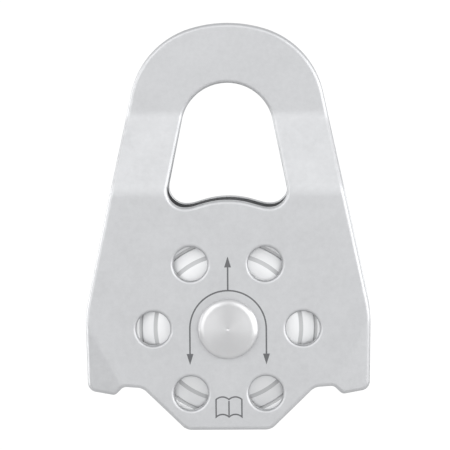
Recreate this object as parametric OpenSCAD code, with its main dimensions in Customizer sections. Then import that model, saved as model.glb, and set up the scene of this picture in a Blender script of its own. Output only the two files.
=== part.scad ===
// Rope pulley with two swinging side plates and a ball-bearing sheave.
// The axle runs along Y through the origin, the eye is up (+Z) and the front plate is at -Y.
// Each plate runs beside the sheave and is joggled inward above it, so the two lie together at the eye.

/* [Side plates] */
// Thickness of each stainless plate
plate_t = 3; // [2.5:0.1:3.5]
// Clear gap between the two plates beside the sheave
plate_gap = 18; // [17.6:0.1:20]
// Gap left between the two plates where they lie together
eye_gap = 0.2; // [0.2:0.1:0.6]
// Greatest half width, just above the corner flaps
half_w = 41.5; // [41:0.1:42.5]
// Lean of the two long straight sides, in degrees from upright
side_lean = 11.9; // [11.5:0.1:12.5]
// Distance from the axle to each of those straight sides
side_reach = 41.45; // [41:0.05:42]
// Height of the plate's top above the axle
top_z = 88.4; // [87:0.1:90]
// Radius of the flat part of the crown
crown_r = 37; // [34:1:44]
// Radius of the two shoulders beside it
shoulder_r = 25; // [22:0.5:27]
// Depth of the plate's bottom below the axle
bottom_z = 29.6; // [29:0.1:32]
// Height where the joggle starts, going up
joggle_z0 = 40.4; // [39:0.1:43]
// Height where the joggle ends and the plates meet
joggle_z1 = 61.5; // [60:0.5:66]
// Inside radius of the joggle's bends
joggle_r = 8; // [4:0.5:10]

/* [Eye] */
// Height of the top of the eye above the axle
eye_top = 71; // [70:0.1:72]
// Radius of the eye's crown, where the carabiner bears
eye_r = 13.55; // [12.5:0.05:14]
// Height of the two low corners of the eye
eye_low = 35.2; // [34.5:0.1:37]
// Height of the hump between them
eye_hump = 37.3; // [36:0.1:39]

/* [Lightening holes] */
// Radius of each hole
hole_r = 4.95; // [4:0.05:5.2]
// Radius of the circle that the six holes lie on
hole_circle_r = 21.75; // [21:0.05:22.5]

/* [Corner flaps] */
// Distance from the axle to the bend line
flap_reach = 35; // [34.5:0.1:37]
// Slope of the bend line's outward normal, in degrees below level
flap_slope = 28.6; // [27:0.1:30]
// How far the flap is bent towards the other plate, in degrees
flap_bend = 20; // [10:1:25]
// Inside radius of the bend
flap_r = 2; // [1:0.1:3]

/* [Sheave] */
// Width of the sheave
sheave_w = 16; // [15:0.1:16.4]
// Outer radius of the sheave's flanges
flange_r = 28.5; // [27.5:0.1:29]
// Radius of the rope groove's section
groove_r = 6.75; // [6:0.05:6.8]
// Radius at the bottom of the rope groove
tread_r = 20.4; // [20:0.1:21]
// Depth of the ring turned in each side face
recess_d = 0.45; // [0.3:0.05:0.5]

/* [Axle and bushes] */
// Radius of the axle head
head_r = 8.7; // [8.4:0.1:9.5]
// Height of each axle head
head_h = 2.5; // [2.2:0.1:4]
// Radius of the rounded rim of each head
head_rim_r = 2.4; // [1:0.1:2.6]
// Radius of the bore through each bush
bush_bore_r = 6.05; // [6.03:0.01:6.07]
// Outer radius of each bush
bush_r = 7.6; // [7:0.1:8.2]

/* [Bearings] */
// Width of each ball bearing
bearing_w = 6; // [5.5:0.1:6]
// Outer radius of each ball bearing
bearing_r = 12; // [11.8:0.1:12.2]
// Number of balls in each bearing
ball_count = 10; // [8:1:11]
// Radius of one ball
ball_r = 1.7; // [1.5:0.05:1.7]

/* [Hidden] */

$fn = 64;
steel = [0.80, 0.81, 0.82];
bright = [0.88, 0.89, 0.90];
alloy = [0.90, 0.91, 0.92];
bronze = [0.72, 0.56, 0.32];
dark = [0.25, 0.25, 0.26];

arc_step = 4;               // degrees of arc for each straight piece of an outline
slack = 0.15;               // end play of the axle heads, plates and washers
cut = 1;                    // how far a cutting tool runs past a face
deep = 60;                  // longer than any part of the pulley is thick

// Side plates
inner_y = plate_gap / 2;
outer_y = inner_y + plate_t;
eye_inner_y = eye_gap / 2;
eye_outer_y = eye_inner_y + plate_t;
joggle_a = atan2(inner_y - eye_inner_y, joggle_z1 - joggle_z0);
hip_r = 34;                 // rounding where the long straight side meets the skirt
skirt_in = 0.4;             // how much narrower the plate is at its lower corners
skirt_end = 18.25;          // depth of those corners below the axle
skirt_r = 2.7;
toe = [33.1, 19.45];        // lower inside corner of a flap, below the axle
toe_r = 1.7;
notch = [30.55, 16.9];      // top outer corner of the notch beside it
notch_r = 2;
notch_end = [25, 17.3];     // where the slanted edge begins
foot_x = 12.3;              // half width of the bottom edge before rounding
foot_r = 4;                 // rounding at both ends of the slanted edge
flap_l = 16;                // length of the flap's sheet before its outline is cut
flap_lead = (flap_r + plate_t) * tan(flap_bend / 2) + 0.3;
eye_corner_r = 5;           // rounding of the eye's two low corners
eye_lobe_x = 11;            // where the eye's lobes turn up into the hump
eye_lobe_r = 9;
hump_r = 25;
hump_lift = 1.1;            // how far the hump's corner stands above its rounded top

// Axle stack, measured from the middle of the sheave
rib_h = 0.6;                            // half thickness of the rib between the bearings
bearing_y = rib_h + bearing_w / 2;      // middle of a bearing
bearing_end = rib_h + bearing_w;
shank_r = bush_bore_r - 0.06;
race_bore_r = shank_r + 0.01;
race_shoulder_r = 7.6;                  // outer radius of an inner race
seat_shoulder_r = 10.3;                 // inner radius of an outer race
pitch_r = 9;                            // radius of the circle of ball centres
track_r = ball_r + 0.08;                // radius of the ball track's section
cage_wall = 1.5;
cage_w = 4.4;
pocket_r = ball_r + 0.12;
shield_t = 0.25;
shield_set = 0.3;                       // depth of a shield's outer face below the race's face
shield_bore_r = 7.9;
clip_t = 0.9;
clip_r = bearing_r + 0.55;
clip_bore_r = 10.9;
clip_opening = 7;
washer_r = 7.4;
seal_bore_r = 7.7;
stub_r = 3;
stub_l = 12;

// Sheave details
recess_in_r = 20.6;
recess_out_r = 25.9;
recess_slope_w = 1.2;                   // width of the slope at the recess's inner side
corner_groove_w = 0.9;                  // narrow groove at its outer side
corner_groove_d = 0.3;                  // depth of that groove below the recess
rim_bevel = 0.5;
head_rim_a = 55;                        // how far the heads' rims turn, in degrees

// Points along an arc about c, from angle a0 to a1
function arc(c, r, a0, a1) =
    let (n = ceil(abs(a1 - a0) / arc_step))
    [for (i = [0:n]) c + r * [cos(a0 + (a1 - a0) * i / n), sin(a0 + (a1 - a0) * i / n)]];

// The corner p, between its neighbours a and b, rounded to radius r
function round_corner(a, p, b, r) =
    r == 0 ? [p] :
    let (
        u = (a - p) / norm(a - p),
        v = (b - p) / norm(b - p),
        half = acos(u * v) / 2,
        c = p + (u + v) / norm(u + v) * r / sin(half),
        start = p + u * r / tan(half) - c,
        a0 = atan2(start[1], start[0])
    )
    arc(c, r, a0, a0 - sign(cross(u, v)) * (180 - 2 * half));

function flat(p) = [p[0], p[1]];

// A closed outline whose corners are [x, y, radius]
function rounded(corners) =
    let (n = len(corners))
    [for (i = [0:n - 1])
        each round_corner(flat(corners[(i + n - 1) % n]), flat(corners[i]),
            flat(corners[(i + 1) % n]), corners[i][2])];

// A right half of corners, from top to bottom, followed by its mirror image back up
function both_sides(half) =
    concat(half, [for (i = [len(half) - 1:-1:0]) if (half[i][0] > 0.001)
        [-half[i][0], half[i][1], half[i][2]]]);

function unrounded(points) = [for (p = points) [p[0], p[1], 0]];

// Front view of a side plate: crown, shoulders, straight sides, corner flaps, notches and foot
side_n = [cos(side_lean), sin(side_lean)];
crown_c = [0, top_z - crown_r];
blend_a = side_lean + acos((side_reach - shoulder_r - crown_c * side_n) / (crown_r - shoulder_r));
shoulder_c = crown_c + (crown_r - shoulder_r) * [cos(blend_a), sin(blend_a)];
hip_z = (side_reach - half_w * side_n[0]) / side_n[1];

function plate_outline() = rounded(both_sides(concat(
    unrounded(arc(crown_c, crown_r, 90, blend_a)),
    unrounded(arc(shoulder_c, shoulder_r, blend_a - arc_step, side_lean)),
    [
        [half_w, hip_z, hip_r],
        [half_w - skirt_in, -skirt_end, skirt_r],
        [toe[0], -toe[1], toe_r],
        [notch[0], -notch[1], notch_r],
        [notch_end[0], -notch_end[1], foot_r],
        [foot_x, -bottom_z, foot_r]
    ])));

// Front view of the eye: a round crown, leaning sides, and a low hump between two lobes
eye_c = [0, eye_top - eye_r];
eye_corner_x = (eye_r + (eye_c[1] - eye_low) * side_n[1]) / side_n[0];

function eye_outline() = rounded(both_sides(concat(
    unrounded(arc(eye_c, eye_r, 90, side_lean)),
    [
        [eye_corner_x, eye_low, eye_corner_r],
        [eye_lobe_x, eye_low, eye_lobe_r],
        [0, eye_hump + hump_lift, hump_r]
    ])));

// Extrudes a front view in X and Z through the whole depth
module through(points) {
    translate([0, deep / 2, 0]) rotate([90, 0, 0]) linear_extrude(deep) polygon(points);
}

module along_y(y0, y1, r) {
    translate([0, y1, 0]) rotate([90, 0, 0]) cylinder(r = r, h = y1 - y0);
}

module ring(y0, y1, r_out, r_in) {
    difference() {
        along_y(y0, y1, r_out);
        along_y(y0 - cut, y1 + cut, r_in);
    }
}

// Turned shape about the axle, from a section whose points are [radius, y]
module turned(section) {
    rotate([-90, 0, 0]) rotate_extrude() polygon(section);
}

module half_turn() {
    rotate([0, 0, 180]) children();
}

// Side view of the front plate's sheet: upright, joggled, and upright again.
// A corner shifts by plate_t * tan(joggle_a / 2) from one face of the sheet to the other.
module joggled_sheet() {
    shift = plate_t * tan(joggle_a / 2);
    low = -bottom_z - 2 * cut;
    high = top_z + 2 * cut;
    section = rounded([
        [-outer_y, low, 0],
        [-inner_y, low, 0],
        [-inner_y, joggle_z0 - shift, joggle_r],
        [-eye_inner_y, joggle_z1 - shift, joggle_r + plate_t],
        [-eye_inner_y, high, 0],
        [-eye_outer_y, high, 0],
        [-eye_outer_y, joggle_z1, joggle_r],
        [-outer_y, joggle_z0, joggle_r + plate_t]
    ]);
    rotate([90, 0, 90]) translate([0, 0, -deep]) linear_extrude(2 * deep) polygon(section);
}

// Turns X to the right-hand bend line's outward normal, and moves it out to that line
module at_bend_line() {
    rotate([0, flap_slope, 0]) translate([flap_reach, 0, 0]) children();
}

// The sheet beyond the right-hand bend line, turned towards the other plate
module flap_sheet() {
    shift = plate_t * tan(flap_bend / 2);
    tip = [0, -outer_y] + flap_l * [cos(flap_bend), sin(flap_bend)];
    tip_in = tip + plate_t * [-sin(flap_bend), cos(flap_bend)];
    section = rounded([
        [-flap_lead, -outer_y, 0],
        [0, -outer_y, flap_r + plate_t],
        [tip[0], tip[1], 0],
        [tip_in[0], tip_in[1], 0],
        [-shift, -inner_y, flap_r],
        [-flap_lead, -inner_y, 0]
    ]);
    at_bend_line() translate([0, 0, -deep / 2]) linear_extrude(deep) polygon(section);
}

module beyond_bend() {
    at_bend_line() translate([-flap_lead, -deep / 2, -deep]) cube([deep, deep, 2 * deep]);
}

module plate_sheet() {
    difference() {
        joggled_sheet();
        beyond_bend();
        mirror([1, 0, 0]) beyond_bend();
    }
    flap_sheet();
    mirror([1, 0, 0]) flap_sheet();
}

module side_plate() {
    difference() {
        intersection() {
            plate_sheet();
            through(plate_outline());
        }
        through(eye_outline());
        along_y(-deep, deep, bush_r);
        for (i = [0:5]) {
            rotate([0, 60 * i, 0]) translate([hole_circle_r, 0, 0]) along_y(-deep, deep, hole_r);
        }
    }
}

module front_plate() {
    color(steel) side_plate();
}

module rear_plate() {
    color(steel) half_turn() side_plate();
}

module plate_bush() {
    color(bronze) ring(-outer_y, -inner_y, bush_r, bush_bore_r);
}

module front_plate_bush() {
    plate_bush();
}

module rear_plate_bush() {
    half_turn() plate_bush();
}

module thrust_washer() {
    color(bronze) ring(-inner_y + slack, -bearing_end, washer_r, race_bore_r);
}

module front_thrust_washer() {
    thrust_washer();
}

module rear_thrust_washer() {
    half_turn() thrust_washer();
}

// Round head with a rounded rim, from the plate outwards
module axle_head() {
    under = -outer_y - slack;
    face = under - head_h;
    rim_c = [head_r - head_rim_r * sin(head_rim_a), face + head_rim_r];
    rim = arc(rim_c, head_rim_r, -90, head_rim_a - 90);
    turned(concat([[0, under], [0, face]], rim, [[head_r, under]]));
}

module axle_pin() {
    color(bright) difference() {
        union() {
            axle_head();
            along_y(-outer_y - slack, outer_y + slack, shank_r);
        }
        along_y(outer_y + slack - stub_l, outer_y + slack + cut, stub_r);
    }
}

module axle_cap() {
    color(bright) {
        half_turn() axle_head();
        along_y(outer_y + slack - stub_l, outer_y + slack, stub_r);
    }
}

// Cuts on the rear side of the sheave: bearing seat, retaining-ring groove, recess and rim bevel
module sheave_side_cuts() {
    w = sheave_w / 2;
    floor_y = w - recess_d;
    groove_in_r = recess_out_r - corner_groove_w;
    along_y(rib_h, w + cut, bearing_r);
    along_y(bearing_end, bearing_end + clip_t, clip_r);
    turned([[recess_in_r, w + cut], [recess_in_r, w], [recess_in_r + recess_slope_w, floor_y],
        [groove_in_r, floor_y], [groove_in_r, floor_y - corner_groove_d],
        [recess_out_r, floor_y - corner_groove_d], [recess_out_r, w + cut]]);
    turned([[flange_r + cut, w + cut], [flange_r - rim_bevel, w + cut], [flange_r - rim_bevel, w],
        [flange_r, w - rim_bevel], [flange_r + cut, w - rim_bevel]]);
}

module sheave() {
    w = sheave_w / 2;
    color(alloy) difference() {
        along_y(-w, w, flange_r);
        rotate([90, 0, 0]) rotate_extrude() translate([tread_r + groove_r, 0]) circle(r = groove_r);
        along_y(-w - cut, w + cut, seat_shoulder_r);
        sheave_side_cuts();
        half_turn() sheave_side_cuts();
    }
}

module bearing_spacer() {
    color(steel) ring(-rib_h, rib_h, washer_r, race_bore_r);
}

// Retaining ring in its groove, with its opening at the bottom
module circlip() {
    color(dark) difference() {
        ring(-bearing_end - clip_t, -bearing_end, clip_r, clip_bore_r);
        translate([-clip_opening / 2, -deep / 2, -deep]) cube([clip_opening, deep, deep]);
    }
}

module front_circlip() {
    circlip();
}

module rear_circlip() {
    half_turn() circlip();
}

// Flat ring held against the bearing by the retaining ring
module dust_seal() {
    color(dark) ring(-bearing_end - clip_t, -bearing_end, clip_bore_r, seal_bore_r);
}

module front_dust_seal() {
    dust_seal();
}

module rear_dust_seal() {
    half_turn() dust_seal();
}

// Bearing parts are drawn about the middle of the front bearing's width
module ball_track() {
    rotate([90, 0, 0]) rotate_extrude() translate([pitch_r, 0]) circle(r = track_r);
}

module outer_race() {
    color(bright) translate([0, -bearing_y, 0]) difference() {
        ring(-bearing_w / 2, bearing_w / 2, bearing_r, seat_shoulder_r);
        ball_track();
    }
}

module inner_race() {
    color(bright) translate([0, -bearing_y, 0]) difference() {
        ring(-bearing_w / 2, bearing_w / 2, race_shoulder_r, race_bore_r);
        ball_track();
    }
}

// Places its children at each ball's centre, with X pointing away from the axle
module at_balls() {
    translate([0, -bearing_y, 0]) for (i = [0:ball_count - 1]) {
        rotate([0, 360 * i / ball_count, 0]) translate([pitch_r, 0, 0]) children();
    }
}

module cage() {
    color(bronze) difference() {
        translate([0, -bearing_y, 0])
            ring(-cage_w / 2, cage_w / 2, pitch_r + cage_wall / 2, pitch_r - cage_wall / 2);
        at_balls() rotate([0, 90, 0]) cylinder(r = pocket_r, h = 2 * cage_wall, center = true);
    }
}

module balls() {
    color(bright) at_balls() sphere(r = ball_r);
}

module outboard_shield() {
    face = -bearing_end + shield_set;
    color(steel) ring(face, face + shield_t, seat_shoulder_r, shield_bore_r);
}

module inboard_shield() {
    face = -rib_h - shield_set;
    color(steel) ring(face - shield_t, face, seat_shoulder_r, shield_bore_r);
}

module front_bearing_outer_race() {
    outer_race();
}

module front_bearing_inner_race() {
    inner_race();
}

module front_bearing_cage() {
    cage();
}

module front_bearing_balls() {
    balls();
}

module front_bearing_outboard_shield() {
    outboard_shield();
}

module front_bearing_inboard_shield() {
    inboard_shield();
}

module rear_bearing_outer_race() {
    half_turn() outer_race();
}

module rear_bearing_inner_race() {
    half_turn() inner_race();
}

module rear_bearing_cage() {
    half_turn() cage();
}

module rear_bearing_balls() {
    half_turn() balls();
}

module rear_bearing_outboard_shield() {
    half_turn() outboard_shield();
}

module rear_bearing_inboard_shield() {
    half_turn() inboard_shield();
}

front_plate();
rear_plate();
front_plate_bush();
rear_plate_bush();
front_thrust_washer();
rear_thrust_washer();
axle_pin();
axle_cap();
sheave();
bearing_spacer();
front_circlip();
rear_circlip();
front_dust_seal();
rear_dust_seal();
front_bearing_outer_race();
front_bearing_inner_race();
front_bearing_cage();
front_bearing_balls();
front_bearing_outboard_shield();
front_bearing_inboard_shield();
rear_bearing_outer_race();
rear_bearing_inner_race();
rear_bearing_cage();
rear_bearing_balls();
rear_bearing_outboard_shield();
rear_bearing_inboard_shield();
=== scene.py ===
# %% [markdown]
# # A rope pulley in stainless steel
# This lesson dresses a rope pulley whose parts, sizes and joints come from a CAD model.
# Two joggled stainless plates swing about an axle, a turned aluminium sheave spins between them,
# and their tops meet in one eye for a carabiner. The CAD model is loaded as a fixed frame: its
# parts are never moved, but a finer piece may stand in for one of them and ride on the same body.

# %% Load the frame
import math
from collections import Counter

import bpy
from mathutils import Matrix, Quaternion, Vector


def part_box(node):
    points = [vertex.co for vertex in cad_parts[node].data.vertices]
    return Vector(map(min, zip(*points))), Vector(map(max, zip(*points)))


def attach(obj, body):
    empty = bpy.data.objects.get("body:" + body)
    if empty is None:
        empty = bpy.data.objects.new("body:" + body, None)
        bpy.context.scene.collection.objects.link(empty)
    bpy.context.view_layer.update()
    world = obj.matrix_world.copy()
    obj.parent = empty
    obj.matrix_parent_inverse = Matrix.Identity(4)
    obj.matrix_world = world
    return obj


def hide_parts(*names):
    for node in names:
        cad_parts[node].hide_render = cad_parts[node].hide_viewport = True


MM = 0.001
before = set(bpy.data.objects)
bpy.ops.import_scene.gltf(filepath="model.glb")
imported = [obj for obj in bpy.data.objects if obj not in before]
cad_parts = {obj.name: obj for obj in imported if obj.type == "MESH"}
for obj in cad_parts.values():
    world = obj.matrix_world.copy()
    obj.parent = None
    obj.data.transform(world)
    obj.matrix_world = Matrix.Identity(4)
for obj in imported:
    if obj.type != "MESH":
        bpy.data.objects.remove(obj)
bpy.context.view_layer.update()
bpy.ops.object.select_all(action="DESELECT")

# %% [markdown]
# The driving sizes are read back from the frame, so that every piece below keeps to the CAD model:
# how far out the plates' outer faces lie, how far the axle heads stand proud, and how wide the
# sheave is. The axle runs along Y through the origin, so half sizes are distances from it.

# %% Read the main sizes from the frame
plate_low, plate_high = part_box("front_plate")
bush_low, bush_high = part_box("front_plate_bush")
pin_low, pin_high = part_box("axle_pin")
cap_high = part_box("axle_cap")[1]
wheel_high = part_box("sheave")[1]

PLATE_FACE = -plate_low.y
PLATE_T = bush_high.y - bush_low.y
HEAD_FACE = -pin_low.y
HEAD_R = pin_high.x
WHEEL_R = wheel_high.x
WHEEL_HALF = wheel_high.y
print(f"plates' outer faces at {PLATE_FACE / MM:.2f} mm, heads at {HEAD_FACE / MM:.2f} mm")

# %% [markdown]
# A product picture of a small shiny part is taken from far away with a long lens, because that
# keeps its outline true. The camera stands a little above the pulley and a touch to its right.
# It is placed by an aim point, a direction and a distance, and then rolled by half a degree, as
# the part hangs very slightly off plumb.

# %% Camera
AIM = Vector((-0.65 * MM, -PLATE_FACE, 30.2 * MM))
AZIMUTH, ELEVATION, ROLL = map(math.radians, (1.2, 4.0, -0.45))
DISTANCE = 1.55
VIEW_WIDTH = 130.5 * MM
SENSOR = 36

camera_data = bpy.data.cameras.new("camera")
camera = bpy.data.objects.new("camera", camera_data)
bpy.context.scene.collection.objects.link(camera)
bpy.context.scene.camera = camera
camera_data.sensor_width = SENSOR
camera_data.lens = SENSOR * DISTANCE / VIEW_WIDTH
camera_data.clip_start, camera_data.clip_end = 0.01, 100
to_camera = Vector((
    math.sin(AZIMUTH) * math.cos(ELEVATION),
    -math.cos(AZIMUTH) * math.cos(ELEVATION),
    math.sin(ELEVATION)))
camera.location = AIM + DISTANCE * to_camera
camera.rotation_mode = "QUATERNION"
camera.rotation_quaternion = (
    (-to_camera).to_track_quat("-Z", "Y") @ Quaternion((0, 0, 1), ROLL))
print(f"lens {camera_data.lens:.0f} mm at {DISTANCE} m")

# %% [markdown]
# Bare metal shows its surroundings, so the light is the surroundings. The room is white to the
# camera but a little darker in reflections, as the walls of a white tent are. The floor is plain
# and pale, and lies half a metre below the pulley, which hangs by its eye.

# %% Room and floor
ROOM_SEEN, ROOM_LIGHT = 1.05, 0.70
FLOOR_DROP = 0.5
FLOOR_SIDE = 6

world = bpy.data.worlds.new("white_room")
bpy.context.scene.world = world
world.use_nodes = True
room = world.node_tree
room.nodes.clear()
room_output = room.nodes.new("ShaderNodeOutputWorld")
room_mix = room.nodes.new("ShaderNodeMixShader")
room_path = room.nodes.new("ShaderNodeLightPath")
seen, lit = (room.nodes.new("ShaderNodeBackground") for _ in range(2))
seen.inputs["Color"].default_value = (1, 1, 1, 1)
seen.inputs["Strength"].default_value = ROOM_SEEN
lit.inputs["Color"].default_value = (0.985, 0.99, 1, 1)
lit.inputs["Strength"].default_value = ROOM_LIGHT
room.links.new(room_path.outputs["Is Camera Ray"], room_mix.inputs[0])
room.links.new(lit.outputs[0], room_mix.inputs[1])
room.links.new(seen.outputs[0], room_mix.inputs[2])
room.links.new(room_mix.outputs[0], room_output.inputs["Surface"])

bpy.ops.mesh.primitive_plane_add(size=FLOOR_SIDE, location=(0, 0, plate_low.z - FLOOR_DROP))
floor = bpy.context.object
floor.name = "floor"
floor_paint = bpy.data.materials.new("floor_paint")
floor_paint.use_nodes = True
floor_shader = floor_paint.node_tree.nodes["Principled BSDF"]
floor_shader.inputs["Base Color"].default_value = (0.64, 0.64, 0.64, 1)
floor_shader.inputs["Roughness"].default_value = 0.9
floor.data.materials.append(floor_paint)
print("floor at", round(floor.location.z, 3), "m")

# %% [markdown]
# A soft box looks as bright in the metal as its power divided by pi times its area. The two front
# screens look brighter than the room, with a darker gap between them. The right box and the small
# left rim box look brightest, and whiten the edges turned to them. The other three, above, at the
# left and behind, look darker than the room, so the metal shows them as grey cards.

# %% Lights
LIGHT_AIM = Vector((0, 0, 0.03))


def soft_box(name, place, width, height, power):
    """A soft box at that place, turned to face the pulley."""
    data = bpy.data.lights.new(name, "AREA")
    data.shape = "RECTANGLE"
    data.size, data.size_y = width, height
    data.energy = power
    box = bpy.data.objects.new(name, data)
    bpy.context.scene.collection.objects.link(box)
    box.location = place
    facing = (LIGHT_AIM - box.location).to_track_quat("-Z", "Y")
    box.rotation_mode = "QUATERNION"
    box.rotation_quaternion = facing
    box.visible_camera = False


soft_box("front_left_screen", (-0.78, -1.2, 0.5), 1.2, 1.7, 5.6)
soft_box("front_right_screen", (0.78, -1.2, 0.5), 1.2, 1.7, 5.6)
soft_box("top_soft_box", (0, -0.8, 1.25), 2.4, 0.7, 1.3)
soft_box("right_soft_box", (1.35, -0.25, 0.2), 1.7, 1.2, 8.5)
soft_box("left_soft_box", (-1.5, -0.6, 0.5), 1.4, 1.6, 1.5)
soft_box("left_rim_box", (-1.4, 0.3, 0.1), 0.8, 1.2, 6)
soft_box("back_screen", (0, 1.8, 0.8), 2.4, 1.6, 1.5)
bpy.context.scene.view_settings.view_transform = "Standard"
bpy.context.scene.view_settings.look = "None"

# %% [markdown]
# ## Working by hand, in code
# Each new piece is modelled as it would be in the window: pick one object, go into edit mode,
# select, extrude, spin, and come out again. These helpers keep that short. Everything is
# deselected first each time, because an operator acts on all that is selected.

# %% Helpers for modelling
def only(piece):
    """Selects one piece alone and makes it the active one."""
    bpy.ops.object.select_all(action="DESELECT")
    piece.select_set(True)
    bpy.context.view_layer.objects.active = piece


def edit(piece):
    only(piece)
    bpy.ops.object.mode_set(mode="EDIT")
    bpy.ops.mesh.select_mode(type="VERT")
    bpy.ops.mesh.select_all(action="SELECT")


def edit_selected(piece, kind):
    """Goes into edit mode with only what the code has selected."""
    only(piece)
    bpy.context.tool_settings.mesh_select_mode = [kind == k for k in ("VERT", "EDGE", "FACE")]
    bpy.ops.object.mode_set(mode="EDIT")


def leave_edit():
    bpy.ops.object.mode_set(mode="OBJECT")


def apply_modifier(piece, kind, **settings):
    """Adds a modifier with those settings and applies it."""
    modifier = piece.modifiers.new(kind, kind)
    for setting, value in settings.items():
        setattr(modifier, setting, value)
    only(piece)
    bpy.ops.object.modifier_apply(modifier=modifier.name)


def faces_of(piece):
    return f"{piece.name}: {len(piece.data.polygons)} faces"


# %% [markdown]
# A chain of edges is the start of both a lathe section and an etched line. It is drawn as by hand:
# a tiny plane is merged to one vertex at the chain's first point, and that vertex is extruded to
# each next point. A closed chain ends where it began, and its two ends are merged.

# %% Draw a chain of edges
TINY = 0.001 * MM


def draw_chain(name, points):
    """A chain of edges through those points, as an object whose place is in its mesh."""
    points = [Vector(point) for point in points]
    bpy.ops.object.select_all(action="DESELECT")
    bpy.ops.mesh.primitive_plane_add(size=MM, location=points[0])
    chain = bpy.context.object
    chain.name = name
    bpy.ops.object.transform_apply(location=True)
    edit(chain)
    bpy.ops.mesh.merge(type="CENTER")
    for start, end in zip(points, points[1:]):
        bpy.ops.mesh.extrude_vertices_move(TRANSFORM_OT_translate={"value": end - start})
    bpy.ops.mesh.select_all(action="SELECT")
    bpy.ops.mesh.remove_doubles(threshold=TINY)
    leave_edit()
    return chain


# %% [markdown]
# ## Finishes
# Two finishes are shared between metals, so each is a node group with named inputs. Stainless
# sheet is tumbled after pressing, which leaves a satin surface with faint clouds and no direction.
# Turned parts carry rings about the axle instead. Both read Object coordinates, which are metres
# in the part's own frame, so a scale of 300 makes features about 3 mm across.

# %% Helpers for node groups
def new_group(name, inputs, outputs):
    """An empty shader group, with (name, socket type, value) inputs and (name, socket type) outputs."""
    group = bpy.data.node_groups.new(name, "ShaderNodeTree")
    for label, kind, value in inputs:
        socket = group.interface.new_socket(label, in_out="INPUT", socket_type=kind)
        socket.default_value = value
    for label, kind in outputs:
        group.interface.new_socket(label, in_out="OUTPUT", socket_type=kind)
    return group, group.nodes.new("NodeGroupInput"), group.nodes.new("NodeGroupOutput")


def add(tree, kind, values=None, **settings):
    """A node with its settings and the values of its named or numbered inputs."""
    node = tree.nodes.new(kind)
    for setting, value in settings.items():
        setattr(node, setting, value)
    for socket, value in (values or {}).items():
        if isinstance(value, bpy.types.NodeSocket):
            tree.links.new(value, node.inputs[socket])
        else:
            node.inputs[socket].default_value = value
    return node


def vary(tree, middle, mask, spread):
    """middle * (1 + (mask - 0.5) * spread), as nodes."""
    centred = add(tree, "ShaderNodeMath", {0: mask, 1: 0.5}, operation="SUBTRACT")
    scaled = add(tree, "ShaderNodeMath", {0: centred.outputs[0], 1: spread}, operation="MULTIPLY")
    share = add(tree, "ShaderNodeMath", {0: scaled.outputs[0], 1: 1.0}, operation="ADD")
    return add(tree, "ShaderNodeMath", {0: share.outputs[0], 1: middle}, operation="MULTIPLY")


NUMBER, COLOUR, VECTOR = "NodeSocketFloat", "NodeSocketColor", "NodeSocketVector"

# %% [markdown]
# The tumbled finish has three layers: clouds about a centimetre across, a finer mottle of a
# millimetre or two, and hair scratches. The scratches are a stretched noise, turned
# three ways. All of them are very faint: a new plate is nearly even.

# %% Tumbled finish
def make_tumbled_finish():
    group, given, result = new_group(
        "tumbled_finish",
        [("Colour", COLOUR, (0.6, 0.6, 0.6, 1)), ("Roughness", NUMBER, 0.4),
         ("Cloud", NUMBER, 0.05), ("Scratch", NUMBER, 0.02)],
        [("Colour", COLOUR), ("Roughness", NUMBER), ("Normal", VECTOR)])
    place = add(group, "ShaderNodeTexCoord").outputs["Object"]
    clouds = add(group, "ShaderNodeTexNoise",
                 {"Vector": place, "Scale": 95.0, "Detail": 4.0, "Roughness": 0.55})
    mottle = add(group, "ShaderNodeTexNoise",
                 {"Vector": place, "Scale": 620.0, "Detail": 3.0, "Roughness": 0.6})
    mixed = add(group, "ShaderNodeMath",
                {0: clouds.outputs["Fac"], 1: mottle.outputs["Fac"]}, operation="ADD")
    mask = add(group, "ShaderNodeMath", {0: mixed.outputs[0], 1: 0.5}, operation="MULTIPLY")
    scratches = None
    for turn in (20, 75, 140):
        turned = add(group, "ShaderNodeMapping", {"Vector": place})
        turned.inputs["Rotation"].default_value = (0, math.radians(turn), 0)
        turned.inputs["Scale"].default_value = (160, 1500, 6500)
        hairs = add(group, "ShaderNodeTexNoise",
                    {"Vector": turned.outputs[0], "Scale": 1.0, "Detail": 1.0})
        scratches = hairs.outputs["Fac"] if scratches is None else add(
            group, "ShaderNodeMath", {0: scratches, 1: hairs.outputs["Fac"]},
            operation="MAXIMUM").outputs[0]
    value = vary(group, 1.0, mask.outputs[0], given.outputs["Cloud"])
    tint = add(group, "ShaderNodeVectorMath", {0: given.outputs["Colour"]}, operation="SCALE")
    group.links.new(value.outputs[0], tint.inputs["Scale"])
    rough = vary(group, given.outputs["Roughness"], mask.outputs[0], -0.35)
    height = add(group, "ShaderNodeMath", {0: scratches, 1: mottle.outputs["Fac"]}, operation="ADD")
    bump = add(group, "ShaderNodeBump", {"Height": height.outputs[0], "Distance": TINY * 4})
    group.links.new(given.outputs["Scratch"], bump.inputs["Strength"])
    group.links.new(tint.outputs[0], result.inputs["Colour"])
    group.links.new(rough.outputs[0], result.inputs["Roughness"])
    group.links.new(bump.outputs[0], result.inputs["Normal"])
    return group


tumbled_finish = make_tumbled_finish()
print("group:", tumbled_finish.name)

# %% [markdown]
# A lathe tool leaves rings. A one-dimensional noise of the distance from the axle, plus the place
# along it, gives rings of uneven depth and spacing. That is what a real cut looks like, where a
# wave would look printed.

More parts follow.
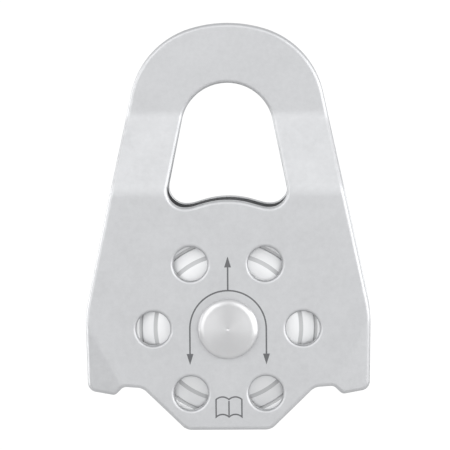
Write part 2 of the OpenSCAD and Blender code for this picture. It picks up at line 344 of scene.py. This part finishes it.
# %% Turned finish
def make_turned_finish():
    group, given, result = new_group(
        "turned_finish",
        [("Colour", COLOUR, (0.7, 0.7, 0.7, 1)), ("Roughness", NUMBER, 0.3),
         ("Rings", NUMBER, 0.2), ("Pitch", NUMBER, 6000.0), ("Cloud", NUMBER, 0.05)],
        [("Colour", COLOUR), ("Roughness", NUMBER), ("Normal", VECTOR)])
    place = add(group, "ShaderNodeTexCoord").outputs["Object"]
    flat = add(group, "ShaderNodeVectorMath", {0: place, 1: (1, 0, 1)}, operation="MULTIPLY")
    radius = add(group, "ShaderNodeVectorMath", {0: flat.outputs[0]}, operation="LENGTH")
    depth = add(group, "ShaderNodeSeparateXYZ", {0: place})
    along = add(group, "ShaderNodeMath",
                {0: radius.outputs["Value"], 1: depth.outputs["Y"]}, operation="ADD")
    rings = add(group, "ShaderNodeTexNoise", {"Detail": 3.0, "Roughness": 0.7}, noise_dimensions="1D")
    group.links.new(along.outputs[0], rings.inputs["W"])
    group.links.new(given.outputs["Pitch"], rings.inputs["Scale"])
    clouds = add(group, "ShaderNodeTexNoise", {"Vector": place, "Scale": 240.0, "Detail": 3.0})
    value = vary(group, 1.0, clouds.outputs["Fac"], given.outputs["Cloud"])
    tint = add(group, "ShaderNodeVectorMath", {0: given.outputs["Colour"]}, operation="SCALE")
    group.links.new(value.outputs[0], tint.inputs["Scale"])
    rough = vary(group, given.outputs["Roughness"], rings.outputs["Fac"], 0.4)
    bump = add(group, "ShaderNodeBump",
               {"Height": rings.outputs["Fac"], "Distance": TINY * 6})
    group.links.new(given.outputs["Rings"], bump.inputs["Strength"])
    group.links.new(tint.outputs[0], result.inputs["Colour"])
    group.links.new(rough.outputs[0], result.inputs["Roughness"])
    group.links.new(bump.outputs[0], result.inputs["Normal"])
    return group


turned_finish = make_turned_finish()
print("group:", turned_finish.name)

# %% [markdown]
# Each material keeps its own Principled shader and sets its fixed values there: metal, how far the
# reflection is drawn out across the rings, and so on. The group only feeds what varies.

# %% Materials
QUARTER_TURN = 0.25


def metal(name, group, colour, roughness, values=None, anisotropy=0.0, metallic=1.0):
    """A metal whose colour, roughness and relief come from a finish group."""
    material = bpy.data.materials.new(name)
    material.use_nodes = True
    tree = material.node_tree
    shader = tree.nodes["Principled BSDF"]
    finish = add(tree, "ShaderNodeGroup", node_tree=group)
    finish.inputs["Colour"].default_value = (*colour, 1)
    finish.inputs["Roughness"].default_value = roughness
    for label, value in (values or {}).items():
        finish.inputs[label].default_value = value
    tree.links.new(finish.outputs["Colour"], shader.inputs["Base Color"])
    tree.links.new(finish.outputs["Roughness"], shader.inputs["Roughness"])
    tree.links.new(finish.outputs["Normal"], shader.inputs["Normal"])
    shader.inputs["Metallic"].default_value = metallic
    shader.inputs["Anisotropic"].default_value = anisotropy
    if anisotropy:
        tangent = add(tree, "ShaderNodeTangent", direction_type="RADIAL", axis="Y")
        tree.links.new(tangent.outputs[0], shader.inputs["Tangent"])
        shader.inputs["Anisotropic Rotation"].default_value = QUARTER_TURN
    return material


stainless = metal("tumbled_stainless", tumbled_finish, (0.650, 0.655, 0.665), 0.46,
                  {"Cloud": 0.3})
# The plates' inner faces get a darker steel: painted shade for the dark gap between the plates.
inner_stainless = metal("pickled_stainless", tumbled_finish, (0.35, 0.352, 0.36), 0.26)
head_steel = metal("turned_head_steel", turned_finish, (0.74, 0.74, 0.745), 0.34,
                   {"Rings": 0.25, "Pitch": 5200.0}, anisotropy=0.45)
plain_steel = metal("turned_steel", turned_finish, (0.60, 0.605, 0.61), 0.3)
wheel_alloy = metal("turned_alloy", turned_finish, (0.88, 0.885, 0.89), 0.42,
                    {"Rings": 0.3, "Pitch": 3600.0}, anisotropy=0.4)
# A darker alloy for the slopes and grooves of the sheave's side rings: painted shade in the recess.
groove_alloy = metal("dull_turned_alloy", turned_finish, (0.60, 0.605, 0.61), 0.5,
                     {"Rings": 0.4, "Pitch": 3600.0})
bearing_steel = metal("ground_steel", turned_finish, (0.68, 0.68, 0.69), 0.16, {"Rings": 0.08})
ball_steel = metal("polished_ball_steel", tumbled_finish, (0.72, 0.72, 0.73), 0.06,
                   {"Cloud": 0.02, "Scratch": 0.0})
bronze = metal("machined_bronze", turned_finish, (0.62, 0.42, 0.19), 0.3, {"Cloud": 0.2})
black_spring = metal("blackened_spring_steel", tumbled_finish, (0.035, 0.036, 0.04), 0.42,
                     {"Cloud": 0.5}, metallic=0.6)
seal_rubber = metal("seal_rubber", tumbled_finish, (0.018, 0.018, 0.019), 0.7,
                    {"Cloud": 0.4, "Scratch": 0.2}, metallic=0.0)
etched = metal("laser_etch", tumbled_finish, (0.150, 0.152, 0.158), 0.62,
               {"Cloud": 0.35, "Scratch": 0.1}, metallic=0.35)
print("materials:", len(bpy.data.materials))

# %% [markdown]
# ## Side plates
# The two plates are one pressing, turned round. A press shop cuts the outline from flat sheet,
# tumbles the blank until no edge could cut a rope, and only then bends it. The same order is the
# easy one here, because a Bevel on a flat sheet is clean everywhere, and a bend cannot disturb it.
#
# The outline is drawn as a draughtsman would: straight sides meet at corners, and each corner is
# rounded to its radius. Only the right half is listed, from top to bottom, and then mirrored.

# %% Round the corners of an outline
ARC_STEP = math.radians(3)
ON_MIDDLE = 0.001


def arc(centre, radius, start, end, count=None):
    """Points on an arc, from one angle to the other, in radians. Without a count, ARC_STEP apart."""
    count = count or math.ceil(abs(end - start) / ARC_STEP)
    turns = [start + (end - start) * i / count for i in range(count + 1)]
    return [Vector(centre) + radius * Vector((math.cos(a), math.sin(a))) for a in turns]


def rounded(corners):
    """A closed outline from (x, z, radius) corners. A radius of 0 leaves the corner as it is."""
    points = []
    for i, (x, z, radius) in enumerate(corners):
        corner = Vector((x, z))
        if radius == 0:
            points.append(corner)
            continue
        before = (Vector(corners[i - 1][:2]) - corner).normalized()
        after = (Vector(corners[(i + 1) % len(corners)][:2]) - corner).normalized()
        half = before.angle(after) / 2
        centre = corner + (before + after).normalized() * radius / math.sin(half)
        first = corner + before * radius / math.tan(half) - centre
        start = math.atan2(first.y, first.x)
        turn = math.copysign(math.pi - 2 * half, -before.cross(after))
        points += arc(centre, radius, start, start + turn)
    return points


def both_sides(half):
    """A right half of corners, followed by its mirror image back to the top."""
    return half + [(-x, z, radius) for x, z, radius in reversed(half) if x > ON_MIDDLE]


def unrounded(points):
    return [(point.x, point.y, 0) for point in points]


# %% [markdown]
# The crown is one wide arc between two tighter shoulders, which run into the leaning sides. Below
# the widest place are the corner flaps, a notch that clears the rope, and the narrow foot. The eye
# has a round top for the carabiner and a low hump between two lobes. Sizes here are in millimetres.

# %% Outlines of the plate and of its eye
LEAN = math.radians(11.9)
SIDE_REACH = 41.45
HALF_W, TOP, FOOT = plate_high.x / MM, plate_high.z / MM, -plate_low.z / MM
CROWN_R, SHOULDER_R, HIP_R = 37, 25, 34
SKIRT_IN, SKIRT_END, SKIRT_R = 0.4, 18.25, 2.7
TOE_X, TOE_DROP, TOE_R = 33.1, 19.45, 1.7
NOTCH_X, NOTCH_DROP, NOTCH_R = 30.55, 16.9, 2
SLANT_X, SLANT_DROP = 25, 17.3
FOOT_X, FOOT_R = 12.3, 4
side_normal = Vector((math.cos(LEAN), math.sin(LEAN)))
crown_centre = Vector((0, TOP - CROWN_R))
shoulder_turn = LEAN + math.acos(
    (SIDE_REACH - SHOULDER_R - crown_centre.dot(side_normal)) / (CROWN_R - SHOULDER_R))
shoulder_centre = crown_centre + (CROWN_R - SHOULDER_R) * Vector(
    (math.cos(shoulder_turn), math.sin(shoulder_turn)))
hip_z = (SIDE_REACH - HALF_W * side_normal.x) / side_normal.y
plate_outline = rounded(both_sides(
    unrounded(arc(crown_centre, CROWN_R, math.pi / 2, shoulder_turn))
    + unrounded(arc(shoulder_centre, SHOULDER_R, shoulder_turn, LEAN)[1:])
    + [(HALF_W, hip_z, HIP_R), (HALF_W - SKIRT_IN, -SKIRT_END, SKIRT_R),
       (TOE_X, -TOE_DROP, TOE_R), (NOTCH_X, -NOTCH_DROP, NOTCH_R),
       (SLANT_X, -SLANT_DROP, FOOT_R), (FOOT_X, -FOOT, FOOT_R)]))

EYE_TOP, EYE_R, EYE_LOW, EYE_CORNER_R = 71, 13.55, 35.2, 5
LOBE_X, LOBE_R = 11, 9
HUMP_TOP, HUMP_LIFT, HUMP_R = 37.3, 1.1, 25
eye_centre = Vector((0, EYE_TOP - EYE_R))
eye_corner = (EYE_R + (eye_centre.y - EYE_LOW) * side_normal.y) / side_normal.x
eye_outline = rounded(both_sides(
    unrounded(arc(eye_centre, EYE_R, math.pi / 2, LEAN))
    + [(eye_corner, EYE_LOW, EYE_CORNER_R), (LOBE_X, EYE_LOW, LOBE_R),
       (0, HUMP_TOP + HUMP_LIFT, HUMP_R)]))
print("points:", len(plate_outline), "round the plate,", len(eye_outline), "round the eye")

# %% [markdown]
# The outlines and the holes become closed chains of edges on the plane of the plate's face. Fill
# closes the sheet between them with triangles, and leaves the holes open. A Bevel is only as clean
# as the edges that meet the rim, so the triangles are replaced by four straight cuts: one down the
# middle, and three through the axle and the centres of two opposite holes. They leave each hole
# squarely, and no face has a hole in it any more.

# %% Draw the outlines and the holes
HOLES, HOLE_R, HOLE_CIRCLE_R = 6, 4.95 * MM, 21.75 * MM
CIRCLE_STEPS = 72
BUSH_R = bush_high.x
hole_turns = [math.radians(360 / HOLES * i) for i in range(HOLES)]
hole_centres = [
    HOLE_CIRCLE_R * Vector((math.cos(a), 0, math.sin(a))) for a in hole_turns]


def draw_outline(name, outline):
    """A closed chain of edges on the plate's face, from points in millimetres."""
    places = [(point.x * MM, -PLATE_FACE, point.y * MM) for point in outline]
    return draw_chain(name, places + places[:1])


def draw_circle(centre, radius):
    """A circle of edges on the plate's face, as an object whose place is in its mesh."""
    bpy.ops.object.select_all(action="DESELECT")
    bpy.ops.mesh.primitive_circle_add(
        vertices=CIRCLE_STEPS, radius=radius, rotation=(math.pi / 2, 0, 0),
        location=(centre.x, -PLATE_FACE, centre.z))
    bpy.ops.object.transform_apply(location=True, rotation=True)
    return bpy.context.object


def join(pieces):
    """Joins pieces into the first of them."""
    only(pieces[0])
    for piece in pieces[1:]:
        piece.select_set(True)
    bpy.ops.object.join()
    return pieces[0]


plate = join(
    [draw_outline("front_side_plate", plate_outline), draw_outline("eye", eye_outline)]
    + [draw_circle(centre, HOLE_R) for centre in hole_centres]
    + [draw_circle(Vector(), BUSH_R)])
print("edges drawn:", len(plate.data.edges))

# %% Cut the blank
edit(plate)
bpy.ops.mesh.fill()
cut_normals = [Vector((1, 0, 0))] + [
    Vector((-math.sin(a), 0, math.cos(a))) for a in hole_turns[:HOLES // 2]]
for normal in cut_normals:
    bpy.ops.mesh.select_all(action="SELECT")
    bpy.ops.mesh.bisect(plane_co=(0, 0, 0), plane_no=normal, threshold=TINY / 10)
bpy.ops.mesh.select_all(action="DESELECT")
leave_edit()


def on_a_cut(first, second):
    """Whether an edge between two points lies along one of the four cuts."""
    return any(max(abs(first.dot(n)), abs(second.dot(n))) < TINY / 2 for n in cut_normals)


uses = Counter(key for face in plate.data.polygons for key in face.edge_keys)
for edge in plate.data.edges:
    ends = [plate.data.vertices[v].co for v in edge.vertices]
    edge.select = uses[edge.key] == 2 and not on_a_cut(*ends)
edit_selected(plate, "EDGE")
bpy.ops.mesh.dissolve_edges(use_verts=False)
leave_edit()
print(faces_of(plate))

# %% [markdown]
# Points left along a cut would be in the way when the rims are rounded, so they are dissolved, and
# the sheet gets its thickness.

# %% Clear the cuts and thicken the sheet
uses = Counter(key for face in plate.data.polygons for key in face.edge_keys)
on_outline = {v for key, count in uses.items() if count == 1 for v in key}
for vertex in plate.data.vertices:
    vertex.select = vertex.index not in on_outline
print(sum(v.select for v in plate.data.vertices), "points taken off the cuts")
edit_selected(plate, "VERT")
bpy.ops.mesh.dissolve_verts()
bpy.ops.mesh.select_all(action="SELECT")
bpy.ops.mesh.extrude_region_move(TRANSFORM_OT_translate={"value": (0, PLATE_T, 0)})
bpy.ops.mesh.select_all(action="SELECT")
bpy.ops.mesh.normals_make_consistent(inside=False)
leave_edit()
print(faces_of(plate), "thickness", round(plate.dimensions.y / MM, 2))

# %% [markdown]
# Every edge of the outline, the eye and the lightening holes is rounded, well on the outer face
# and only a little on the inner one, where no hand or carabiner comes. The hole for the bush stays
# sharp, because the bush is pressed into it. The Bevel modifier reads a weight from each edge, so
# one modifier makes all of these.

# %% Tumble its edges
ROUND = 1.1 * MM
ROUND_HOLES = 0.85
ROUND_INSIDE = 0.3
RIM_SLACK = 0.2 * MM


def rounding(first, second):
    """How much an edge between two points of the blank is rounded, from 0 to 1."""
    middle = (first + second) / 2
    reach = math.hypot(middle.x, middle.z)
    if abs(first.y - second.y) > TINY or reach < BUSH_R + RIM_SLACK:
        return 0
    at_hole = any(math.hypot(middle.x - centre.x, middle.z - centre.z) < HOLE_R + RIM_SLACK
                  for centre in hole_centres)
    inside = middle.y > -PLATE_FACE + PLATE_T / 2
    return ROUND_INSIDE if inside else ROUND_HOLES if at_hole else 1


def tumble(blank):
    edit(blank)
    bpy.ops.mesh.select_mode(type="EDGE")
    bpy.ops.mesh.select_all(action="DESELECT")
    bpy.ops.mesh.edges_select_sharp(sharpness=math.radians(60))
    leave_edit()
    weights = blank.data.attributes.new("bevel_weight_edge", "FLOAT", "EDGE")
    for edge in blank.data.edges:
        if edge.select:
            weights.data[edge.index].value = rounding(
                *(blank.data.vertices[v].co for v in edge.vertices))
    apply_modifier(blank, "BEVEL", limit_method="WEIGHT", width=ROUND, segments=5,
                   use_clamp_overlap=False)


tumble(plate)
plate.data.materials.clear()
for material in (stainless, inner_stainless):
    plate.data.materials.append(material)
# Faces turned to the middle take the darker steel, which is painted shade between the plates.
for face in plate.data.polygons:
    face.material_index = int(face.normal.y > 0.99)
print(faces_of(plate))

# %% [markdown]
# The press bends the sheet twice to bring its top to the middle, which is called a joggle, and
# once along each lower corner. A sheet can only bend where its mesh has edges, so bisect cuts a
# few lines across each bend. Then every vertex is moved in Y by the height of the bent sheet at
# its place. The outer and the inner face have their own radii, one sheet thickness apart, and a
# vertex between them goes by its share of the thickness.

# %% Bend the plate in the press
JOGGLE_LOW, JOGGLE_HIGH = 40.4 * MM, 61.5 * MM
JOGGLE_R = 8 * MM
EYE_FACE = 3.1 * MM
FLAP_REACH, FLAP_R = 35 * MM, 2 * MM
FLAP_SLOPE, FLAP_BEND = math.radians(28.6), math.radians(20)
JOGGLE_RISE = PLATE_FACE - EYE_FACE
JOGGLE_BEND = math.atan(JOGGLE_RISE / (JOGGLE_HIGH - JOGGLE_LOW))
CUTS = 7


def bend_height(run, bend, radius):
    """Height of a face that turns up by that bend, at a distance past the bend's corner."""
    lead = radius * math.tan(bend / 2)
    if run <= -lead:
        return 0
    if run >= lead * math.cos(bend):
        return run * math.tan(bend)
    return radius - math.sqrt(radius ** 2 - (run + lead) ** 2)


def face_height(x, z, inner):
    """How far the bent sheet's outer or inner face is from the flat one, towards the middle."""
    thick = PLATE_T if inner else 0
    joggle_shift = thick * math.tan(JOGGLE_BEND / 2)
    flap_shift = thick * math.tan(FLAP_BEND / 2)
    low, high = JOGGLE_LOW - joggle_shift, JOGGLE_HIGH - joggle_shift
    if z < (low + high) / 2:
        joggle = bend_height(z - low, JOGGLE_BEND, JOGGLE_R + PLATE_T - thick)
    else:
        joggle = JOGGLE_RISE - bend_height(high - z, JOGGLE_BEND, JOGGLE_R + thick)
    beyond = abs(x) * math.cos(FLAP_SLOPE) - z * math.sin(FLAP_SLOPE) - FLAP_REACH
    return joggle + bend_height(beyond + flap_shift, FLAP_BEND, FLAP_R + PLATE_T - thick)


def cut_across(piece, middle, normal, reach):
    """Cuts parallel lines over a bend, from reach before its middle to reach after it."""
    for i in range(CUTS + 1):
        place = Vector(middle) + Vector(normal) * reach * (2 * i / CUTS - 1)
        edit(piece)
        bpy.ops.mesh.bisect(plane_co=place, plane_no=normal, threshold=TINY / 10)
        leave_edit()


def press(piece):
    joggle_lead = (JOGGLE_R + PLATE_T) * math.tan(JOGGLE_BEND / 2)
    flap_lead = (FLAP_R + PLATE_T) * math.tan(FLAP_BEND / 2)
    for level in (JOGGLE_LOW, JOGGLE_HIGH):
        cut_across(piece, (0, 0, level), (0, 0, 1), joggle_lead)
    for side in (-1, 1):
        normal = (side * math.cos(FLAP_SLOPE), 0, -math.sin(FLAP_SLOPE))
        cut_across(piece, Vector(normal) * FLAP_REACH, normal, flap_lead)
    for vertex in piece.data.vertices:
        share = (vertex.co.y + PLATE_FACE) / PLATE_T
        outer, inner = (face_height(vertex.co.x, vertex.co.z, side) for side in (False, True))
        vertex.co.y += outer + share * (inner - outer)


press(plate)
only(plate)
bpy.ops.object.shade_smooth()
apply_modifier(plate, "WEIGHTED_NORMAL", weight=70, keep_sharp=False)
print(faces_of(plate))

# %% [markdown]
# The rear plate is a copy, with its own mesh, turned half round the vertical axis.

# %% Copy the plate for the rear
def copy_turned(piece, name):
    """A copy of a piece, turned half round Z."""
    copied = piece.copy()
    copied.data = piece.data.copy()
    copied.name = name
    bpy.context.scene.collection.objects.link(copied)
    copied.rotation_euler.z = math.pi
    only(copied)
    bpy.ops.object.transform_apply(rotation=True)
    return copied


rear = copy_turned(plate, "rear_side_plate")
for piece, node, body in ((plate, "front_plate", "front_cheek"), (rear, "rear_plate", "rear_cheek")):
    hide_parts(node)
    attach(piece, body)
    print(faces_of(piece))

# %% [markdown]
# ## Turned parts
# The sheave and the axle come off a lathe, so they are made as a lathe makes them: half of the
# section is drawn as a chain of edges, and spun once round the axle. The sections read their main
# radii from the frame. A section that touches the axis is closed there by a pole.

# %% Spin a section round the axle
SPIN_STEPS = 144
CORNER = math.radians(25)
SOFTEN_WHEEL, SOFTEN_AXLE = 0.12 * MM, 0.08 * MM


def turn_on_lathe(name, section, soften, material, slot_name, body, *nodes):
    """A solid of revolution about the axle from (radius, y) points, with its corners softened."""
    piece = draw_chain(name, [(radius, y, 0) for radius, y in section])
    edit(piece)
    bpy.ops.mesh.spin(steps=SPIN_STEPS, angle=2 * math.pi, center=(0, 0, 0), axis=(0, 1, 0))
    bpy.ops.mesh.select_all(action="SELECT")
    bpy.ops.mesh.remove_doubles(threshold=TINY)
    bpy.ops.mesh.normals_make_consistent(inside=False)
    leave_edit()
    apply_modifier(piece, "BEVEL", limit_method="ANGLE", angle_limit=CORNER, width=soften,
                   segments=3, use_clamp_overlap=True)
    only(piece)
    bpy.ops.object.shade_smooth_by_angle(angle=math.radians(40))
    piece.data.materials.append(material)
    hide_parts(*nodes)
    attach(piece, body)
    print(faces_of(piece))
    return piece


# %% [markdown]
# The sheave's rope groove is a round channel a little wider than the rope. Its flanges end in a
# rounded lip. Each side face has a shallow ring turned in it, with a slope at its inner side and a
# narrow groove at its outer one. Both show as thin bands through the lightening holes. The bore
# holds two bearings against a rib, and has a groove at each end for a retaining ring.

# %% Sheave
GROOVE_R, GROOVE_STEPS = 6.75 * MM, 40
TREAD_R = 20.4 * MM
BEARING_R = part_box("front_bearing_outer_race")[1].x
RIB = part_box("bearing_spacer")[1].y
SEAT_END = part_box("rear_bearing_outer_race")[1].y
CLIP_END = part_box("rear_circlip")[1].y
CLIP_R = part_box("rear_circlip")[1].x
RIB_R = 10.3 * MM
RIM_BEVEL = 0.5 * MM
RECESS_IN, RECESS_OUT = 20.6 * MM, 25.9 * MM
RECESS_D, SLOPE_W = 0.45 * MM, 1.2 * MM
CORNER_W, CORNER_D = 0.9 * MM, 0.3 * MM
recess_floor = WHEEL_HALF - RECESS_D
corner_floor = recess_floor - CORNER_D

groove_centre = TREAD_R + GROOVE_R
lip_turn = math.acos((WHEEL_R - groove_centre) / GROOVE_R)
rear_half = [
    (RIB_R, RIB), (BEARING_R, RIB), (BEARING_R, SEAT_END), (CLIP_R, SEAT_END),
    (CLIP_R, CLIP_END), (BEARING_R, CLIP_END), (BEARING_R, WHEEL_HALF),
    (RECESS_IN, WHEEL_HALF), (RECESS_IN + SLOPE_W, recess_floor),
    (RECESS_OUT - CORNER_W, recess_floor), (RECESS_OUT - CORNER_W, corner_floor),
    (RECESS_OUT, corner_floor), (RECESS_OUT, WHEEL_HALF),
    (WHEEL_R - RIM_BEVEL, WHEEL_HALF), (WHEEL_R, WHEEL_HALF - RIM_BEVEL)]
groove = arc((groove_centre, 0), GROOVE_R, lip_turn, 2 * math.pi - lip_turn, GROOVE_STEPS)
front_half = [(radius, -y) for radius, y in reversed(rear_half)]
sheave_wheel = turn_on_lathe(
    "rope_sheave", rear_half + groove + front_half + rear_half[:1], SOFTEN_WHEEL,
    wheel_alloy, "sheave_alloy", "rope_wheel", "sheave")

# %% Painted shade on the side rings' slopes and grooves
sheave_wheel.data.materials.append(groove_alloy)
dull_bands = ((RECESS_IN, RECESS_IN + SLOPE_W, recess_floor),
              (RECESS_OUT - CORNER_W, RECESS_OUT, corner_floor))
for face in sheave_wheel.data.polygons:
    radius = math.hypot(face.center.x, face.center.z)
    for band_in, band_out, lowest in dull_bands:
        if band_in < radius < band_out and lowest - TINY < abs(face.center.y) < WHEEL_HALF - TINY:
            face.material_index = 1
# The faces counted here are painted darker, as shade in the recess.
dull = sum(face.material_index for face in sheave_wheel.data.polygons)
print(f"{dull} faces of the slopes and grooves keep the tool's dull finish")

# %% [markdown]
# The axle is a headed pin, and its rear head is a cap set on it with a stub. The heads' rims are
# rounded, and their faces are crowned very slightly round the small dimple that held the bar's
# centre. Both curves are drawn in the section, and the Bevel only breaks what corners are left.

# %% Axle pin and cap
RIM_R, RIM_TURN, RIM_STEPS = 2.4 * MM, math.radians(55), 10
NIB_R, NIB_H = 0.35 * MM, 0.2 * MM
CROWN_H, CROWN_STEPS = 0.3 * MM, 6
SHANK_R = 5.99 * MM
STUB_R = 3 * MM
STUB_L = 12 * MM
HEAD_GAP = 0.15 * MM
HEAD_UNDER = PLATE_FACE + HEAD_GAP


def head_section(face):
    """From the axis along the head's face and round its rim, to its under side at the shank."""
    rim_middle = (HEAD_R - RIM_R * math.sin(RIM_TURN), face - RIM_R)
    rim = [(radius, y - CROWN_H)
           for radius, y in arc(rim_middle, RIM_R, math.pi / 2, math.pi / 2 - RIM_TURN, RIM_STEPS)]
    rim_start = rim[0][0]
    crown = [(rim_start * n / CROWN_STEPS, face - CROWN_H * (n / CROWN_STEPS) ** 2)
             for n in range(1, CROWN_STEPS)]
    return [(0, face - NIB_H), (NIB_R, face)] + crown + rim + [(HEAD_R, HEAD_UNDER)]


front_head = [(radius, -y) for radius, y in head_section(HEAD_FACE)]
pin_section = front_head + [
    (SHANK_R, -HEAD_UNDER), (SHANK_R, HEAD_UNDER), (STUB_R, HEAD_UNDER),
    (STUB_R, HEAD_UNDER - STUB_L), (0, HEAD_UNDER - STUB_L)]
turn_on_lathe("axle_pin_turned", pin_section, SOFTEN_AXLE, head_steel,
              "turned_steel", "axle", "axle_pin")
cap_section = head_section(cap_high.y) + [
    (STUB_R, HEAD_UNDER), (STUB_R, HEAD_UNDER - STUB_L), (0, HEAD_UNDER - STUB_L)]
turn_on_lathe("axle_cap_turned", cap_section, SOFTEN_AXLE, head_steel,
              "turned_steel", "axle", "axle_cap")

# %% [markdown]
# ## Etched marks
# A laser has drawn the load path on the front plate: a line over the axle that ends in two arrows
# down, for the two runs of the rope, and one arrow up, for the carabiner. Below is an open book,
# the usual sign for instructions. The lines lie so little above the plate that no edge of theirs
# shows, but they are real pieces, and they swing with the plate. Each is a chain of edges extruded
# to a very low wall, which a Solidify modifier then makes as wide as the line.

# %% Etched lines and arrow heads
MARK_LIFT = 0.012 * MM
MARK_FACE = -PLATE_FACE - MARK_LIFT
LINE_W = 0.45 * MM
HEAD_L, HEAD_W = 3.2 * MM, 2.0 * MM


def etched_line(name, points, width=LINE_W):
    """A flat line through (x, z) points on the front plate's face."""
    line = draw_chain(name, [(x, MARK_FACE, z) for x, z in points])
    edit(line)
    bpy.ops.mesh.extrude_region_move(TRANSFORM_OT_translate={"value": (0, 2 * MARK_LIFT, 0)})
    leave_edit()
    apply_modifier(line, "SOLIDIFY", thickness=width, offset=0, use_even_offset=True)
    return line


def etched_patch(name, points):
    """A flat filled shape inside (x, z) points on the front plate's face."""
    patch = draw_chain(name, [(x, MARK_FACE, z) for x, z in points + points[:1]])
    edit(patch)
    bpy.ops.mesh.edge_face_add()
    bpy.ops.mesh.extrude_region_move(TRANSFORM_OT_translate={"value": (0, 2 * MARK_LIFT, 0)})
    leave_edit()
    return patch


def arrow_head(name, x, tip, way):
    """A slim triangle with its tip at that height. way is 1 for up and -1 for down."""
    base = tip - way * HEAD_L
    return etched_patch(name, [(x, tip), (x - HEAD_W / 2, base), (x + HEAD_W / 2, base)])


def mark(name, parts):
    """Joins the parts of one mark into one piece on the front plate."""
    piece = join(parts)
    piece.name = name
    edit(piece)
    bpy.ops.mesh.normals_make_consistent(inside=False)
    leave_edit()
    piece.data.materials.clear()
    piece.data.materials.append(etched)
    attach(piece, "front_cheek")
    print(faces_of(piece))


# %% [markdown]
# The load path's arc is concentric with the axle, and its legs hang straight from the arc's ends.

# %% Load path
PATH_R, PATH_STEPS = 11.1 * MM, 48
PATH_FOOT = -10.5 * MM
STEM_TOP = 21.05 * MM

over_axle = arc((0, 0), PATH_R, math.pi, 0, PATH_STEPS)
path_line = [(-PATH_R, PATH_FOOT + HEAD_L)] + over_axle + [(PATH_R, PATH_FOOT + HEAD_L)]
mark("load_path_mark", [
    etched_line("path_line", path_line),
    etched_line("path_stem", [(0, PATH_R + LINE_W / 2), (0, STEM_TOP - HEAD_L)]),
    arrow_head("left_arrow", -PATH_R, PATH_FOOT, -1),
    arrow_head("right_arrow", PATH_R, PATH_FOOT, -1),
    arrow_head("top_arrow", 0, STEM_TOP, 1)])

# %% [markdown]
# The book is two pages that rise from the spine and fall to the outer edge, drawn as one closed
# line, and the spine. A half sine, made a little fuller, gives the pages' swell.

# %% Open book
BOOK_W, BOOK_H = 7.5 * MM, 5.1 * MM
BOOK_X, BOOK_Z = 0.1 * MM, -23.2 * MM
SWELL, FULLNESS = 0.75 * MM, 0.8
BOOK_LINE = 0.42 * MM
PAGE_STEPS = 10


def page_edge(foot, way):
    """Points along the top or foot of both pages, from left to right or back."""
    steps = range(-PAGE_STEPS, PAGE_STEPS + 1)
    return [(BOOK_X + way * i / PAGE_STEPS * BOOK_W / 2,
             foot + SWELL * math.sin(math.pi * abs(i) / PAGE_STEPS) ** FULLNESS) for i in steps]


top_edge = page_edge(BOOK_Z + BOOK_H / 2, 1)
foot_edge = page_edge(BOOK_Z - BOOK_H / 2, -1)
outline = top_edge + foot_edge + top_edge[:1]
mark("open_book_mark", [
    etched_line("book_outline", outline, BOOK_LINE),
    etched_line("book_spine", [(BOOK_X, BOOK_Z - BOOK_H / 2 + BOOK_LINE),
                               (BOOK_X, BOOK_Z + BOOK_H / 2 - BOOK_LINE)], BOOK_LINE)])

# %% [markdown]
# ## Parts inside
# The bearings, bushes, washers, seals and retaining rings keep the CAD model's shapes, which are
# turned parts already, and get the metals and the rubber that such parts are usually made of.

# %% Dress the inner parts
DRESS = {
    "plate_bush": bronze, "thrust_washer": bronze, "spacer": plain_steel, "circlip": black_spring,
    "dust_seal": seal_rubber, "race": bearing_steel, "cage": bronze, "balls": ball_steel,
    "shield": plain_steel}
for name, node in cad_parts.items():
    for ending, material in DRESS.items():
        if name.endswith(ending):
            node.data.materials.clear()
            node.data.materials.append(material)
            only(node)
            bpy.ops.object.shade_smooth_by_angle(angle=math.radians(35))
bpy.ops.object.select_all(action="DESELECT")
print("inner parts dressed:", sum(not node.hide_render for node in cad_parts.values()))
